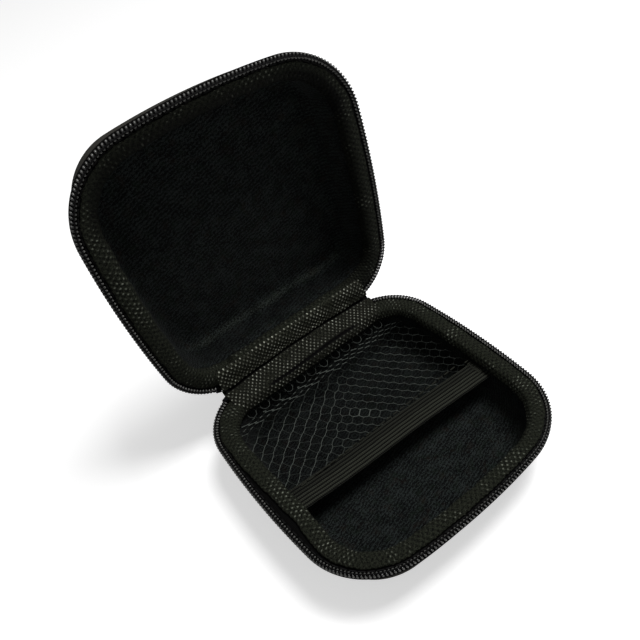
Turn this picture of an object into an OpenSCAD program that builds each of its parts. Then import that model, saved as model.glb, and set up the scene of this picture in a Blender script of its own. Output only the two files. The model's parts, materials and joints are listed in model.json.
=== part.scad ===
// Hard zip case for earphones: two moulded shells joined by a fabric hinge, a coil zip round the rim
// and a net pocket with an elastic edge in the base. The lid stands open.
// X runs along the hinge, +Y to the back, +Z up. The origin is the middle of the underside.

/* [Case] */
// Width over the zip, between the crests of the two bowed sides
case_w = 90; // [80:1:110]
// Depth from the hinge line to the crest of the bowed front
case_d = 90; // [80:1:110]
// Height of each half, from its flat face to the seam
half_h = 20; // [19:0.5:30]
// Radius of the bow of the two sides
side_r = 300; // [200:5:600]
// Radius of the bow of the front
front_r = 204; // [150:2:500]
// Radius of the two front corners in plan
front_corner_r = 24.5; // [18:0.5:30]
// Radius of the two back corners in plan
back_corner_r = 20; // [16:0.5:26]
// Place along the depth where the sides are widest
side_mid_y = -2.5; // [-8:0.5:4]
// Slope of the walls from upright
draft = 14; // [6:0.5:18]
// Radius of the rounded edge between wall and flat face
edge_r = 8.5; // [6:0.25:9.5]
// How far the lid stands open from its closed place
lid_open = 92; // [0:1:120]

/* [Laminate] */
// Thickness of the outer cover cloth
cover_t = 0.5; // [0.3:0.05:0.8]
// Thickness of the moulded foam
foam_t = 2.6; // [1.8:0.1:3.4]
// Thickness of the knitted lining
lining_t = 0.5; // [0.3:0.05:0.8]
// Glue line between two layers
glue_gap = 0.1; // [0.05:0.01:0.2]

/* [Rim] */
// How far the shell stands inside the line of the zip at the seam
rim_inset = 1.7; // [1.2:0.1:2.6]
// Gap between the two zip coils when the lid is shut
seam_gap = 0.3; // [0.3:0.05:0.6]
// Thickness of the zip tape
tape_t = 0.5; // [0.3:0.05:0.7]
// How far the tape reaches down inside the wall, from the seam
tape_leg = 3; // [2.8:0.1:3.2]
// Thickness of the padded edge binding on the wall
binding_t = 0.9; // [0.6:0.05:1.2]
// How far the binding reaches down inside the wall, from the seam
binding_leg = 3.8; // [3.5:0.1:4.6]
// Width of the groove between the coil and the binding's outer edge
groove_w = 0.9; // [0.8:0.1:1.6]

/* [Zip] */
// Width of one row of coil across the rim
coil_w = 1.7; // [1.5:0.1:2.2]
// Height of one row of coil
coil_t = 1.2; // [1:0.1:1.4]
// Distance from one tooth to the next
tooth_pitch = 1.15; // [1:0.05:1.6]
// Length of one tooth along the rim
tooth_w = 0.65; // [0.4:0.05:0.7]
// Depth of the notch between two teeth
tooth_notch = 0.8; // [0.6:0.1:1]
// Length of a metal stop at the zip's end
stop_l = 1.8; // [1.2:0.1:2.4]
// Turn of the zip's tail round the back corner, from straight back
tail_turn = 38; // [37:0.5:42]
// Height of the parked slider's middle
slider_z = 10.4; // [10.2:0.1:11]
// Length of the slider
slider_l = 7; // [6.6:0.1:7.4]
// Width of the slider
slider_w = 6.6; // [6.2:0.1:7.4]
// Thickness of each of the slider's two plates
plate_t = 0.8; // [0.6:0.05:1]
// Width of the wedge that parts the two rows of teeth
wedge_w = 1.3; // [1:0.1:1.5]
// Free run of the tape on each side of the slider's plates
slider_clear = 0.3; // [0.25:0.05:0.5]
// Clearance between the pull tab's bar and the slider's loop
pin_clear = 0.15; // [0.1:0.05:0.2]
// Length of the pull tab from its pivot
pull_l = 7.5; // [7:0.1:7.8]
// Width of the pull tab
pull_w = 5; // [4.4:0.2:6]
// Thickness of the pull tab
pull_t = 1.1; // [0.9:0.05:1.2]

/* [Hinge] */
// Width of the fabric hinge, between the two ends of the zip
hinge_w = 60; // [52:1:66]
// Thickness of the outer hinge strip
strip_t = 0.6; // [0.4:0.05:0.7]
// How far the outer hinge strip reaches down the back wall, from the seam
strip_leg = 8; // [7:0.5:9]
// How far the inner hinge strip's flap reaches inwards in the base
flap_reach = 8.2; // [7:0.1:9]
// Thickness of the inner hinge strip's flap
flap_t = 0.45; // [0.3:0.05:0.5]
// Gap between the two leaves of a hinge strip at the fold
fold_gap = 0.6; // [0.4:0.1:1]

/* [Pocket] */
// Width of the elastic band
elastic_w = 8.5; // [6:0.5:12]
// Thickness of the elastic band
elastic_t = 1.2; // [0.8:0.1:1.6]
// Number of ribs along the elastic
elastic_ribs = 7; // [4:1:8]
// Place of the elastic's front edge along the depth
elastic_y = -7; // [-12:0.5:-2]
// Drop of the elastic's upper face below the seam
elastic_drop = 5; // [5:0.25:7]
// Thickness of the net
net_t = 0.5; // [0.3:0.05:0.8]
// Distance between the middles of two cells of the net
net_pitch = 3.6; // [3.4:0.1:5]
// Turn of the net's rows from the hinge line
net_turn = 8; // [0:1:30]
// Width of the threads between two cells
net_thread = 0.5; // [0.35:0.05:0.7]
// How far the net reaches in under the elastic
net_tuck = 2; // [1:0.25:3]
// Gap round a soft piece where it meets the wall
soft_gap = 0.3; // [0.2:0.05:0.5]

/* [Stitching] */
// Length of one stitch
stitch_l = 1.9; // [1.2:0.1:2.4]
// Distance from one stitch to the next
stitch_pitch = 2.8; // [2.6:0.1:4]
// Thickness of the thread
thread_t = 0.35; // [0.25:0.05:0.4]

/* [Hidden] */

SMALL_FN = 96;
BOW_FN = 360;
EDGE_STEPS = 8;

// Plan of the rim: the line of the zip's outer edge, of arcs that touch, straight at the hinge
hinge_y = case_d / 2;
front_c = [0, front_r - case_d / 2];
side_c = [case_w / 2 - side_r, side_mid_y];
function crossing(a, ra, b, rb) =
    let (d = b - a, l = norm(d), m = (ra * ra - rb * rb + l * l) / (2 * l), e = d / l)
    a + m * e + sqrt(ra * ra - m * m) * [e[1], -e[0]];
front_corner_c = crossing(side_c, side_r - front_corner_r, front_c, front_r - front_corner_r);
back_corner_y = hinge_y - back_corner_r;
function side_reach(y, r) = side_c[0] + sqrt(pow(r, 2) - pow(y - side_mid_y, 2));
back_corner_x = side_reach(back_corner_y, side_r - back_corner_r);
back_corner_c = [back_corner_x, back_corner_y];
function bearing(p, c) = atan2(p[1] - c[1], p[0] - c[0]);
front_end = bearing(front_corner_c, front_c);
side_start = bearing(front_corner_c, side_c);
side_end = bearing(back_corner_c, side_c);
function flip(p) = [-p[0], p[1]];
function turned(p, a) = [p[0] * cos(a) - p[1] * sin(a), p[0] * sin(a) + p[1] * cos(a)];

// Each arc is its centre, radius, first and last bearing, from the left of the hinge to its right
ARCS = [
    [flip(back_corner_c), back_corner_r, 90, 180 - side_end],
    [flip(side_c), side_r, 180 - side_end, 180 - side_start],
    [flip(front_corner_c), front_corner_r, 180 - side_start, 180 - front_end],
    [front_c, front_r, 180 - front_end, 360 + front_end],
    [front_corner_c, front_corner_r, 360 + front_end, 360 + side_start],
    [side_c, side_r, 360 + side_start, 360 + side_end],
    [back_corner_c, back_corner_r, 360 + side_end, 450]
];
function arc_length(a) = a[1] * (a[3] - a[2]) * PI / 180;
function sum(list, i = 0) = i < len(list) ? list[i] + sum(list, i + 1) : 0;
rim_length = sum([for (a = ARCS) arc_length(a)]);
function arc_turn(a, share) = a[2] + share * (a[3] - a[2]);
function arc_point(a, share, u) = a[0] + (a[1] - u) * [cos(arc_turn(a, share)), sin(arc_turn(a, share))];
// The place s along the rim, as a row of the arc's number and the share of the arc passed
function rim_place(s, i = 0) =
    let (l = arc_length(ARCS[i]))
    s <= l || i == len(ARCS) - 1 ? [i, s / l] : rim_place(s - l, i + 1);
function rim_turn(s) = let (p = rim_place(s)) arc_turn(ARCS[p[0]], p[1]);
function rim_at(s, u) = let (p = rim_place(s)) arc_point(ARCS[p[0]], p[1], u);
function rim_loop(u, steps) = [for (a = ARCS) for (i = [0:steps]) arc_point(a, i / steps, u)];
// Half the width of the space inside the rim at a depth, u inside the line of the zip
function half_width(y, u) = side_reach(y, side_r - u);
function inside_back(p, u) =
    p[1] <= hinge_y - u
    && norm(p - side_c) <= side_r - u
    && norm(p - flip(side_c)) <= side_r - u
    && (abs(p[0]) < back_corner_x || p[1] < back_corner_y
        || norm([abs(p[0]), p[1]] - back_corner_c) <= back_corner_r - u);
function reversed(list) = [for (i = [len(list) - 1:-1:0]) list[i]];

// Section of the wall: u is inwards from the line of the zip, t the depth under the outer face
function wall_u(z, t) = rim_inset + (half_h - z) * tan(draft) + t / cos(draft);
edge_u = wall_u(edge_r, edge_r);
floor_u = edge_u + edge_r / 5;
function wall_path(t, top) = concat(
    [[wall_u(top, t), top]],
    [for (i = [0:EDGE_STEPS])
        let (f = draft + (90 - draft) * i / EDGE_STEPS, r = edge_r - t)
        [edge_u - r * cos(f), edge_r - r * sin(f)]],
    [[floor_u, t]]
);

// Depths under the outer face
foam_in = cover_t + glue_gap;
foam_out = foam_in + foam_t;
lining_in = foam_out + glue_gap;
lining_out = lining_in + lining_t;
tape_in = lining_out + glue_gap;
tape_out = tape_in + tape_t;
binding_in = tape_out + glue_gap;
binding_out = binding_in + binding_t;

// Heights
coil_top = half_h - seam_gap / 2;
coil_bottom = coil_top - coil_t;
flange_top = coil_bottom - glue_gap;
flange_bottom = flange_top - tape_t;
shell_top = flange_bottom - glue_gap;
binding_bottom = flange_top + glue_gap;
binding_top = coil_top - flap_t - glue_gap;
binding_lip = coil_w + groove_w;
elastic_top = half_h - elastic_drop;
elastic_bottom = elastic_top - elastic_t;
net_top = elastic_bottom - glue_gap;
net_bottom = net_top - net_t;

// The zip's ends: the stop's inner corner is level with the hinge's end
stop_over = coil_w / 10;
hinge_half = hinge_w / 2;
zip_turn = asin((hinge_half - back_corner_x) / (back_corner_r - coil_w - stop_over));
zip_start = back_corner_r * zip_turn * PI / 180;
coil_start = zip_start + stop_l + glue_gap;
coil_end = rim_length - zip_start;

// The line where one arc meets the next, u inside the line of the zip
function cut_point(i, u) = i < len(ARCS) ? arc_point(ARCS[i], 0, u) : arc_point(ARCS[i - 1], 1, u);
reach_out = 3;
reach_in = floor_u + 1;
function wedge(i) =
    let (a = ARCS[i], far = a[1] > 100 ? 4 * reach_out : back_corner_r)
    [
        cut_point(i, reach_in), cut_point(i, -reach_out),
        arc_point(a, 1 / 2, -far),
        cut_point(i + 1, -reach_out), cut_point(i + 1, reach_in)
    ];

// Sweeps a section round the whole rim
module around_rim() {
    for (i = [0:len(ARCS) - 1]) {
        a = ARCS[i];
        first = floor(a[2]) - 1;
        span = ceil(a[3]) + 1 - first;
        intersection() {
            translate(a[0])
                rotate_extrude(angle = span, start = first, $fn = a[1] > 100 ? BOW_FN : SMALL_FN)
                    translate([a[1], 0])
                        mirror([1, 0])
                            children();
            translate([0, 0, -1])
                linear_extrude(half_h + 2)
                    polygon(wedge(i));
        }
    }
    translate([-back_corner_x, hinge_y, 0])
        rotate([90, 0, 90])
            linear_extrude(2 * back_corner_x)
                mirror([1, 0])
                    children();
}

// The space of the hinge, where the zip stops
module hinge_space(half) {
    translate([-half, back_corner_y, 0])
        cube([2 * half, back_corner_r + 5, 2 * half_h]);
}

// One layer of the laminate, between two depths
module layer(t1, t2) {
    around_rim()
        polygon(concat(wall_path(t1, shell_top), reversed(wall_path(t2, shell_top))));
    translate([0, 0, t1])
        linear_extrude(t2 - t1)
            polygon(rim_loop((edge_u + floor_u) / 2, 4));
}

module zip_tape() {
    difference() {
        around_rim()
            polygon([
                [coil_w / 8, flange_bottom],
                [wall_u(flange_bottom, tape_in), flange_bottom],
                [wall_u(half_h - tape_leg, tape_in), half_h - tape_leg],
                [wall_u(half_h - tape_leg, tape_out), half_h - tape_leg],
                [wall_u(flange_top, tape_out), flange_top],
                [coil_w / 8, flange_top]
            ]);
        hinge_space(hinge_half);
    }
}

module rim_binding() {
    bead = (binding_top - binding_bottom) / 2;
    around_rim()
        polygon([
            [binding_lip, binding_bottom],
            [binding_lip, binding_top - bead],
            [binding_lip + bead, binding_top],
            [wall_u(binding_top, binding_out) - 2 * bead, binding_top],
            [wall_u(binding_top - bead, binding_out), binding_top - bead],
            [wall_u(half_h - binding_leg, binding_out), half_h - binding_leg],
            [wall_u(half_h - binding_leg, binding_in), half_h - binding_leg],
            [wall_u(binding_bottom, binding_in), binding_bottom]
        ]);
}

// A row of teeth: a comb in plan, whose back is the coil's sewn side
module zip_coil() {
    teeth = floor((coil_end - coil_start - tooth_w) / tooth_pitch);
    tooth = [[0, tooth_notch], [0, 0], [tooth_w, 0], [tooth_w, tooth_notch]];
    comb = [for (i = [0:teeth]) for (p = tooth) rim_at(coil_start + i * tooth_pitch + p[0], p[1])];
    last = coil_start + teeth * tooth_pitch + tooth_w;
    spans = 80;
    back = [for (i = [0:spans]) rim_at(last + (coil_start - last) * i / spans, coil_w)];
    translate([0, 0, coil_bottom])
        linear_extrude(coil_t)
            polygon(concat(comb, back));
}

module zip_end_stop() {
    s = zip_start + stop_l / 2;
    translate(concat(rim_at(s, coil_w / 2), [coil_bottom]))
        rotate(rim_turn(s))
            translate([-coil_w / 2 - stop_over, -stop_l / 2, 0])
                cube([coil_w + 2 * stop_over, stop_l, coil_t]);
}

module stitch(along) {
    translate([-thread_t / 2, -along / 2, 0])
        cube([thread_t, along, thread_t]);
}

module rim_stitching() {
    u = coil_w + groove_w / 2;
    count = floor((coil_end - coil_start) / stitch_pitch);
    for (i = [0.5:1:count - 0.5]) {
        s = coil_start + i * stitch_pitch;
        translate(concat(rim_at(s, u), [flange_top + glue_gap / 2]))
            rotate(rim_turn(s))
                stitch(stitch_l);
    }
}

// Outer hinge strip: one leaf, from the back wall up to the fold
module outer_strip() {
    out = -glue_gap - strip_t;
    low = half_h - strip_leg;
    intersection() {
        around_rim()
            polygon([
                [wall_u(low, -glue_gap), low],
                [wall_u(shell_top, -glue_gap), shell_top],
                [fold_gap / 2 + strip_t, half_h - fold_gap / 2],
                [fold_gap / 2, half_h - fold_gap / 2],
                [wall_u(shell_top, out), shell_top],
                [wall_u(low, out), low]
            ]);
        hinge_space(hinge_half - soft_gap);
    }
}

// Inner hinge strip: a flap over the binding, whose outer edge is turned down beside it
module inner_strip(reach) {
    turn_u = binding_lip - soft_gap;
    start_u = fold_gap / 2 + strip_t + soft_gap;
    intersection() {
        around_rim()
            polygon([
                [start_u, coil_top],
                [start_u, coil_top - flap_t],
                [turn_u - flap_t, binding_bottom],
                [turn_u, binding_bottom],
                [turn_u, coil_top - flap_t],
                [reach, coil_top - flap_t],
                [reach, coil_top]
            ]);
        hinge_space(hinge_half - soft_gap);
    }
}

// Stitches along the lower edge of the outer hinge strip
module hinge_stitching() {
    z = half_h - strip_leg + stitch_pitch / 2;
    u = wall_u(z, -glue_gap * 1.5 - strip_t);
    count = floor(back_corner_x * 2 / stitch_pitch);
    for (i = [0:count - 1])
        translate([(i - (count - 1) / 2) * stitch_pitch, hinge_y - u, z])
            rotate([-draft, 0, 0])
                translate([-stitch_l / 2, 0, 0])
                    cube([stitch_l, thread_t, thread_t]);
}

// Pocket
elastic_back = elastic_y + elastic_w;
elastic_u = wall_u(elastic_bottom, lining_out) + soft_gap;
elastic_half = half_width(elastic_back, elastic_u);

module pocket_elastic() {
    rib = elastic_w / elastic_ribs;
    dip = elastic_t * 0.25;
    crown = [[0.12, dip], [0.3, 0], [0.7, 0], [0.88, dip]];
    ribs = [for (i = [0:elastic_ribs - 1]) for (p = crown)
        [elastic_y + (i + p[0]) * rib, elastic_top - p[1]]];
    translate([-elastic_half, 0, 0])
        rotate([90, 0, 90])
            linear_extrude(2 * elastic_half)
                polygon(concat([[elastic_y, elastic_bottom]], ribs, [[elastic_back, elastic_bottom]]));
}

net_u = wall_u(net_bottom, lining_out) + soft_gap;
net_front = elastic_back - net_tuck;
module pocket_net() {
    border = net_thread * 1.5;
    half = half_width(net_front, net_u);
    edge = concat(
        [[half, net_front]],
        [for (i = [4:12]) arc_point(ARCS[5], i / 12, net_u)],
        [for (i = [1:8]) arc_point(ARCS[6], i / 8, net_u)]
    );
    right = [for (p = edge) if (p[1] >= net_front) p];
    cell = (net_pitch - net_thread) / sqrt(3);
    row = net_pitch * sqrt(3) / 2;
    reach = ceil(case_w / 2 / row);
    middle_y = (net_front + hinge_y - net_u) / 2;
    middles = [for (j = [-reach:reach]) for (i = [-reach:reach])
        let (q = [(i + abs(j % 2) / 2) * net_pitch, j * row])
        let (p = turned(q, net_turn) + [0, middle_y])
        if (p[1] >= net_front + border + cell && inside_back(p, net_u + border + cell)) p];
    translate([0, 0, net_bottom])
        linear_extrude(net_t)
            difference() {
                polygon(concat(right, reversed([for (p = right) flip(p)])));
                for (m = middles)
                    translate(m)
                        rotate(net_turn + 30)
                            circle(cell, $fn = 6);
            }
}

// The seam that joins net and elastic, and the tacks at the elastic's two ends
module pocket_stitching() {
    z = elastic_top + glue_gap / 2;
    seam_half = elastic_half - elastic_w / 2;
    count = floor(2 * seam_half / stitch_pitch);
    rib = elastic_w / elastic_ribs;
    for (i = [0:count - 1])
        translate([(i - (count - 1) / 2) * stitch_pitch, elastic_back - rib / 2, z])
            rotate(90)
                stitch(stitch_l);
    for (side = [-1, 1])
        for (i = [0:elastic_ribs - 2])
            translate([side * (elastic_half - rib), elastic_y + (i + 0.5) * rib, z])
                rotate(90)
                    stitch(stitch_l);
}

// The zip's tail hangs on the back corner: x across it, y up the wall, z out of the wall
module on_tail() {
    translate([back_corner_x, back_corner_y, 0])
        rotate(-tail_turn)
            translate([0, back_corner_r - wall_u(slider_z, 0), slider_z])
                rotate([90 + draft, 0, 180])
                    children();
}

tail_back = plate_t + 2 * slider_clear + glue_gap;
tail_coil_z = tail_back + tape_t + glue_gap / 2;
tail_coil_top = tail_coil_z + coil_t;
tail_top = (flange_bottom - slider_z + tail_back * sin(draft)) / cos(draft);
tail_bottom = -slider_l / 2 - stop_l - slider_clear;
slider_corner_r = slider_l / 5;
wedge_l = 1.1 * wedge_w;
wedge_y = slider_l / 4;
slot_w = wedge_w + 2 * slider_clear;
row_w = coil_w + glue_gap;
tail_seam_w = slider_w / 6;
tail_half = slider_w / 2 + slider_clear + tail_seam_w;

// The tape's two long edges are folded in and sewn to the wall, and its end to the rim's tape
module zip_tail_tape() {
    low = tail_bottom - tape_t;
    long = tail_top + 2 * tape_t - low;
    difference() {
        on_tail() {
            translate([0, 0, tail_back])
                linear_extrude(tape_t)
                    difference() {
                        translate([-tail_half, low])
                            square([2 * tail_half, long]);
                        translate([-slot_w / 2, wedge_y - slider_clear])
                            square([slot_w, long]);
                    }
            for (side = [0, 1])
                mirror([side, 0, 0])
                    translate([tail_half - tail_seam_w, low, -tail_back])
                        cube([tail_seam_w, long, 2 * tail_back + tape_t / 2]);
        }
        around_rim()
            polygon([
                [wall_u(edge_r / 2, 0), edge_r / 2],
                [wall_u(half_h, 0), half_h],
                [wall_u(half_h, foam_in + foam_t), half_h],
                [wall_u(edge_r / 2, foam_in + foam_t), edge_r / 2]
            ]);
        translate([0, 0, flange_bottom])
            cube([case_w, case_d, half_h]);
    }
}

module zip_tail_coil() {
    low = tail_bottom + stop_l + glue_gap;
    high = wedge_y - slider_clear;
    teeth = floor((high - low) / tooth_pitch - 0.1);
    notch_x = row_w - tooth_notch / 2;
    right = [for (i = [0:teeth - 1])
        for (p = [[row_w, 0], [row_w, tooth_w], [notch_x, tooth_w], [notch_x, tooth_pitch]])
            [p[0], low + i * tooth_pitch + p[1]]];
    top = [[row_w, low + teeth * tooth_pitch], [row_w, high]];
    edge = concat(right, top);
    on_tail()
        translate([0, 0, tail_coil_z]) {
            linear_extrude(coil_t)
                polygon(concat(edge, reversed([for (p = edge) flip(p)])));
            for (side = [0, 1])
                mirror([side, 0, 0])
                    translate([slot_w / 2, high - glue_gap, 0])
                        cube([row_w - slot_w / 2, tail_top - high - coil_t / 2, coil_t]);
        }
}

module zip_bottom_stop() {
    on_tail()
        translate([-row_w, tail_bottom, tail_coil_z])
            cube([2 * row_w, stop_l, coil_t]);
}

// Slider: two plates joined by the wedge, rolled edges beside the coil and a loop for the pull
top_plate_z = tail_coil_top + slider_clear;
loop_gap = pull_t + 3 * pin_clear;
pivot_z = top_plate_z + plate_t + loop_gap / 2;
loop_w = 2 * plate_t;
loop_half = slider_l / 3;
pivot_y = plate_t + pull_t / 2 + pin_clear - loop_half;

module slider_plan() {
    r = slider_corner_r;
    offset_y = slider_l / 2 - r;
    offset_x = slider_w / 2 - r;
    translate([-slider_w / 2, -offset_y])
        square([slider_w, 2 * offset_y]);
    translate([-offset_x, -slider_l / 2])
        square([2 * offset_x, slider_l]);
    for (x = [-1, 1])
        for (y = [-1, 1])
            translate([x * offset_x, y * offset_y])
                circle(r, $fn = 32);
}

module zip_slider_body() {
    back_z = tail_back - slider_clear - plate_t;
    rolled_w = slider_w / 2 - row_w - slider_clear;
    rolled_l = slider_l - 2 * slider_corner_r;
    rolled_z = tail_back + tape_t + slider_clear;
    on_tail() {
        translate([0, 0, back_z])
            linear_extrude(plate_t)
                slider_plan();
        translate([0, 0, top_plate_z])
            linear_extrude(plate_t)
                slider_plan();
        translate([-wedge_w / 2, wedge_y, back_z + plate_t / 2])
            cube([wedge_w, wedge_l, top_plate_z - back_z]);
        for (side = [0, 1])
            mirror([side, 0, 0])
                translate([slider_w / 2 - rolled_w, -rolled_l / 2, rolled_z])
                    cube([rolled_w, rolled_l, top_plate_z - rolled_z + plate_t / 2]);
        translate([-loop_w / 2, -loop_half, top_plate_z + plate_t / 2])
            difference() {
                cube([loop_w, 2 * loop_half, plate_t / 2 + loop_gap + plate_t]);
                translate([-1, plate_t, plate_t / 2])
                    cube([loop_w + 2, 2 * (loop_half - plate_t), loop_gap]);
            }
    }
}

// The pull tab hangs straight down from the slider's loop
module zip_pull_tab() {
    arm_in = loop_w / 2 + pin_clear;
    arm_w = pull_w / 2 - arm_in;
    plate_start = loop_half + 0.8 * pull_t;
    r = pull_w / 2;
    on_tail()
        translate([0, pivot_y, pivot_z])
            rotate([-draft, 0, 0]) {
                translate([-arm_in - arm_w / 2, 0, 0])
                    rotate([0, 90, 0])
                        cylinder(r = pull_t / 2, h = 2 * arm_in + arm_w, $fn = 32);
                for (side = [0, 1])
                    mirror([side, 0, 0])
                        translate([arm_in, -plate_start - arm_w / 2, -pull_t / 2])
                            cube([arm_w, plate_start + arm_w / 2 + pull_t / 2, pull_t]);
                translate([0, 0, -pull_t / 2])
                    linear_extrude(pull_t) {
                        translate([-r, r - pull_l])
                            square([2 * r, pull_l - r - plate_start]);
                        translate([0, r - pull_l])
                            circle(r, $fn = 48);
                    }
            }
}

// Turns a piece of the lower half into the lid's, at the lid's open place
module as_lid() {
    translate([0, hinge_y, half_h])
        rotate([-lid_open, 0, 0])
            translate([0, -hinge_y, half_h])
                mirror([0, 0, 1])
                    children();
}

module base_outer_cover() color("#2b2a28") layer(0, cover_t);
module base_foam_shell() color("#3a3a3a") layer(foam_in, foam_out);
module base_lining() color("#0f1515") layer(lining_in, lining_out);
module base_rim_binding() color("#3a392f") rim_binding();
module base_zip_tape() color("#141414") zip_tape();
module base_zip_coil() color("#1c1c1c") zip_coil();
module base_zip_end_stop() color("#55565a") zip_end_stop();
module base_rim_stitching() color("#101010") rim_stitching();
module base_hinge_stitching() color("#101010") hinge_stitching();
module hinge_outer_strip_base() color("#232322") outer_strip();
module hinge_inner_strip_base() color("#3a392f") inner_strip(flap_reach);
module lid_outer_cover() as_lid() color("#2b2a28") layer(0, cover_t);
module lid_foam_shell() as_lid() color("#3a3a3a") layer(foam_in, foam_out);
module lid_lining() as_lid() color("#0f1515") layer(lining_in, lining_out);
module lid_rim_binding() as_lid() color("#3a392f") rim_binding();
module lid_zip_tape() as_lid() color("#141414") zip_tape();
module lid_zip_coil() as_lid() color("#1c1c1c") zip_coil();
module lid_zip_end_stop() as_lid() color("#55565a") zip_end_stop();
module lid_rim_stitching() as_lid() color("#101010") rim_stitching();
module lid_hinge_stitching() as_lid() color("#101010") hinge_stitching();
module hinge_outer_strip_lid() as_lid() color("#232322") outer_strip();
module hinge_inner_strip_lid() as_lid() color("#3a392f") inner_strip(flap_reach);

base_outer_cover();
base_foam_shell();
base_lining();
base_rim_binding();
base_zip_tape();
base_zip_coil();
base_zip_end_stop();
base_rim_stitching();
base_hinge_stitching();
hinge_outer_strip_base();
hinge_inner_strip_base();
color("#6a6c68") pocket_net();
color("#2a2b26") pocket_elastic();
color("#101010") pocket_stitching();
color("#141414") zip_tail_tape();
color("#1c1c1c") zip_tail_coil();
color("#55565a") zip_bottom_stop();
color("#2e2f31") zip_slider_body();
color("#2e2f31") zip_pull_tab();
lid_outer_cover();
lid_foam_shell();
lid_lining();
lid_rim_binding();
lid_zip_tape();
lid_zip_coil();
lid_zip_end_stop();
lid_rim_stitching();
lid_hinge_stitching();
hinge_outer_strip_lid();
hinge_inner_strip_lid();
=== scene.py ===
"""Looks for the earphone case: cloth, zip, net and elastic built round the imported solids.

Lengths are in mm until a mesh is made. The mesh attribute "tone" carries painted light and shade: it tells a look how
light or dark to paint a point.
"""

import json
import math

import bpy
import numpy as np
from mathutils import Matrix, Vector

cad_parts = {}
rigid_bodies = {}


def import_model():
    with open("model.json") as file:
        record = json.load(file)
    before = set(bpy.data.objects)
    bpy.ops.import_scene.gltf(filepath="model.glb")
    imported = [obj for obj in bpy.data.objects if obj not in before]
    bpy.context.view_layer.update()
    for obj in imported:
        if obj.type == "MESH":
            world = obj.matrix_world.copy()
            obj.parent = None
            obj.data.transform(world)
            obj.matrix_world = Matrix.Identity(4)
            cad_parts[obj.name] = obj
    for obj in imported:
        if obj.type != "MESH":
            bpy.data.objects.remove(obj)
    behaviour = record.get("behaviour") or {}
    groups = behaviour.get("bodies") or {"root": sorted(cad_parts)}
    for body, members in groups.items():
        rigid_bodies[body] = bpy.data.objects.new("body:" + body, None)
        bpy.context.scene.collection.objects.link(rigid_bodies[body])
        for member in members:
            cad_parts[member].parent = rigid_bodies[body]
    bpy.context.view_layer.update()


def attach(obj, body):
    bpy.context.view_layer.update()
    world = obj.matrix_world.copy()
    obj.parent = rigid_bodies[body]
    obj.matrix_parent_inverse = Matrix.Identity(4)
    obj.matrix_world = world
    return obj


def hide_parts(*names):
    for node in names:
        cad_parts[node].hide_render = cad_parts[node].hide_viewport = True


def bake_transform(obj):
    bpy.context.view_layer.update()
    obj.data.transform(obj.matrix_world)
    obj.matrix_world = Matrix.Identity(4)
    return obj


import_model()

MM = 0.001

# Case, as in the solids
CASE_W = 90.0
CASE_D = 90.0
HALF_H = 20.0
SIDE_R = 300.0
FRONT_R = 204.0
FRONT_CORNER_R = 24.5
BACK_CORNER_R = 20.0
SIDE_MID_Y = -2.5
DRAFT = math.radians(14)
EDGE_R = 8.5
LID_OPEN = math.radians(92)
HINGE_Y = CASE_D / 2
HINGE_HALF = 30.0

# Laminate: depths under the outer face
COVER_T = 0.5
LINING_IN = 3.3
LINING_OUT = 3.8
TAPE_IN = 3.9
TAPE_OUT = 4.4
BINDING_IN = 4.5
BINDING_OUT = 5.4
RIM_INSET = 1.7

# Heights at the rim
COIL_TOP = 19.85
COIL_BOTTOM = 18.65
FLANGE_TOP = 18.55
FLANGE_BOTTOM = 18.05
SHELL_TOP = 17.95
BINDING_TOP = 19.3
BINDING_LEG = 3.8
TAPE_LEG = 3.0

# Zip
COIL_W = 1.7
GROOVE_W = 0.9
TOOTH_PITCH = 1.15
WIRE_R = 0.29

# Pocket
ELASTIC_FRONT = -7.0
ELASTIC_W = 8.5
ELASTIC_TOP = 15.0
ELASTIC_T = 1.2
ELASTIC_RIBS = 7
NET_Z = 13.45
NET_PITCH = 3.45
NET_TURN = math.radians(8)

# Lining
LINING_TURN = math.radians(16)
# Painted shadow of the net: how much darker the base's lining is painted under the net
PAINTED_NET_SHADOW = 0.42

# Camera and the photograph's framing
VIEW_AZIMUTH = math.radians(-35.41)
VIEW_ELEVATION = math.radians(51.54)
VIEW_ROLL = math.radians(-8.9)
VIEW_DISTANCE = 207.58
VIEW_TARGET = (15.05, -6.60, 24.74)
VIEW_LENS = 37.9
VIEW_SHIFT = (-0.172, 0.110)


def crossing(a, ra, b, rb):
    """Where two circles cross, on the right of the way from a to b."""
    d = np.subtract(b, a)
    length = math.hypot(*d)
    m = (ra * ra - rb * rb + length * length) / (2 * length)
    e = d / length
    return np.asarray(a) + m * e + math.sqrt(ra * ra - m * m) * np.array([e[1], -e[0]])


def bearing(p, c):
    return math.atan2(p[1] - c[1], p[0] - c[0])


def rim_arcs():
    """The rim's arcs from the hinge's left round the front to its right: centre, radius, both bearings."""
    front = np.array([0.0, FRONT_R - CASE_D / 2])
    side = np.array([CASE_W / 2 - SIDE_R, SIDE_MID_Y])
    corner = crossing(side, SIDE_R - FRONT_CORNER_R, front, FRONT_R - FRONT_CORNER_R)
    back_y = HINGE_Y - BACK_CORNER_R
    back_x = side[0] + math.sqrt((SIDE_R - BACK_CORNER_R) ** 2 - (back_y - SIDE_MID_Y) ** 2)
    back = np.array([back_x, back_y])
    turn = 2 * math.pi
    a_front = bearing(corner, front)
    a_side = bearing(corner, side)
    a_back = bearing(back, side)
    flip = np.array([-1.0, 1.0])
    return [
        (back * flip, BACK_CORNER_R, math.pi / 2, math.pi - a_back),
        (side * flip, SIDE_R, math.pi - a_back, math.pi - a_side),
        (corner * flip, FRONT_CORNER_R, math.pi - a_side, math.pi - a_front),
        (front, FRONT_R, math.pi - a_front, turn + a_front),
        (corner, FRONT_CORNER_R, turn + a_front, turn + a_side),
        (side, SIDE_R, turn + a_side, turn + a_back),
        (back, BACK_CORNER_R, turn + a_back, turn + math.pi / 2),
    ]


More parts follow.
